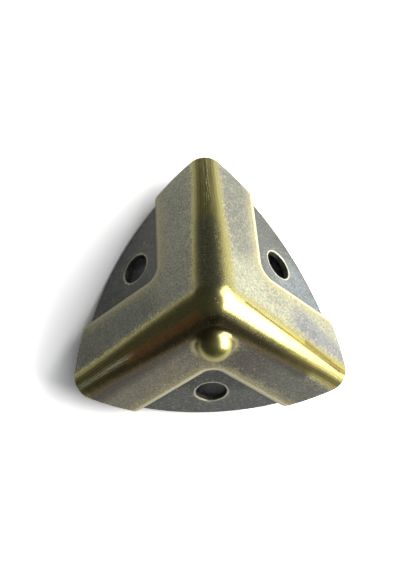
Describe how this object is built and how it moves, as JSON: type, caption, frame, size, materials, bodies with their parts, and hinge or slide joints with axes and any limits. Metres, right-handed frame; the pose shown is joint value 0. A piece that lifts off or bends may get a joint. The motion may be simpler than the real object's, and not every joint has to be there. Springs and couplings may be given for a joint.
{
  "type": "box corner bracket",
  "caption": "Three-sided pressed sheet corner with rolled ridges, stepped-in panels with a round hole each, and one ball stud near the corner.",
  "frame": {"origin": "the box's own corner, where the planes of the three panels' backs meet, just under the bracket's ball corner", "axes": "+Z along the box's space diagonal, out of the corner, so that the bracket stands on its three round edges; +Y over the top leg, away from the face that has the ball stud; +X to the right of that face"},
  "size_m": [0.045, 0.0429, 0.0249],
  "materials": {
    "antique_brass": "aged, dark in the flats and rubbed bright on ridges and edges"
  },
  "bodies": {
    "root": {"corner_bracket": "antique_brass"}
  },
  "joints": []
}
